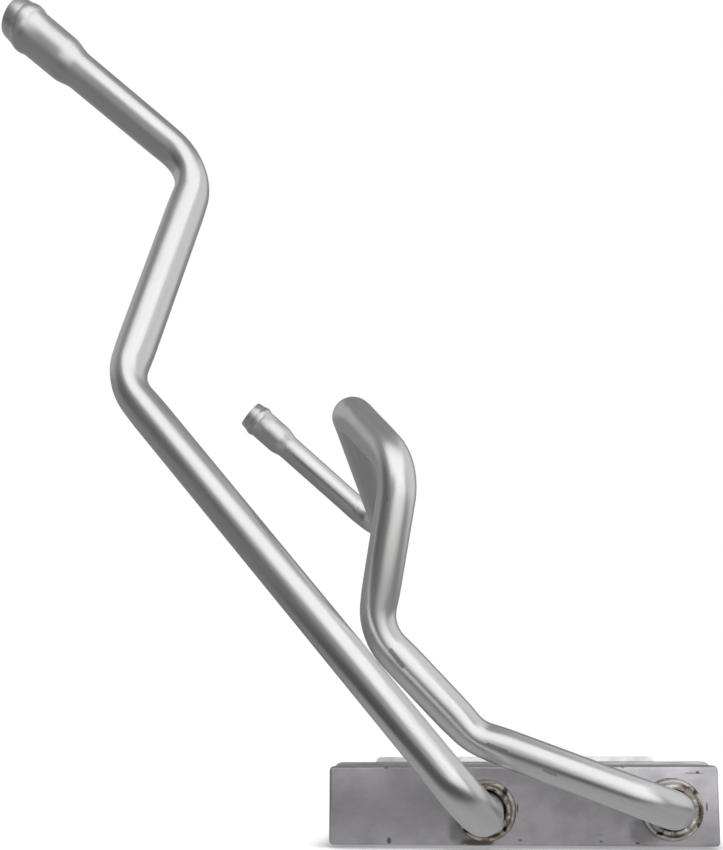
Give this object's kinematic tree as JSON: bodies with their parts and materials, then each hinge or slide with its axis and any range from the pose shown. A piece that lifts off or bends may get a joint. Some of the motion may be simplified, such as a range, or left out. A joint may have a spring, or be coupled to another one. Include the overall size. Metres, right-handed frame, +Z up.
{
  "type": "heater core",
  "caption": "Brazed aluminium heater core: flat tubes and folded fins between tanks, with bent water pipes ending in beaded hose ends.",
  "frame": {"origin": "centre of the return tank's outer face, the end that slides into the heater case first", "axes": "+X along the tanks' long side, to the right as seen from the front; +Y from the front tank, which carries the pipes, towards the return tank; +Z up through the core's thickness, so air flows along Z"},
  "size_m": [0.306, 0.2551, 0.3646],
  "materials": {
    "tank_sheet": "dull brazed sheet",
    "core_sheet": "dull brazed sheet",
    "flat_tube": "dull brazed sheet",
    "fin_sheet": "dull brazed foil",
    "collar": "brazed, stained brown by flux",
    "pipe": "satin drawn tube"
  },
  "bodies": {
    "root": {"fin_strip_01": "fin_sheet", "fin_strip_02": "fin_sheet", "fin_strip_03": "fin_sheet", "fin_strip_04": "fin_sheet", "fin_strip_05": "fin_sheet", "fin_strip_06": "fin_sheet", "fin_strip_07": "fin_sheet", "fin_strip_08": "fin_sheet", "fin_strip_09": "fin_sheet", "fin_strip_10": "fin_sheet", "fin_strip_11": "fin_sheet", "fin_strip_12": "fin_sheet", "fin_strip_13": "fin_sheet", "fin_strip_14": "fin_sheet", "fin_strip_15": "fin_sheet", "fin_strip_16": "fin_sheet", "fin_strip_17": "fin_sheet", "flat_tube_01": "flat_tube", "flat_tube_02": "flat_tube", "flat_tube_03": "flat_tube", "flat_tube_04": "flat_tube", "flat_tube_05": "flat_tube", "flat_tube_06": "flat_tube", "flat_tube_07": "flat_tube", "flat_tube_08": "flat_tube", "flat_tube_09": "flat_tube", "flat_tube_10": "flat_tube", "flat_tube_11": "flat_tube", "flat_tube_12": "flat_tube", "flat_tube_13": "flat_tube", "flat_tube_14": "flat_tube", "flat_tube_15": "flat_tube", "flat_tube_16": "flat_tube", "side_plate_left": "core_sheet", "side_plate_right": "core_sheet", "front_header": "core_sheet", "rear_header": "core_sheet", "tank_baffle": "core_sheet", "inlet_outlet_tank": "tank_sheet", "return_tank": "tank_sheet", "left_collar": "collar", "right_collar": "collar", "left_pipe": "pipe", "right_pipe": "pipe"}
  },
  "joints": []
}
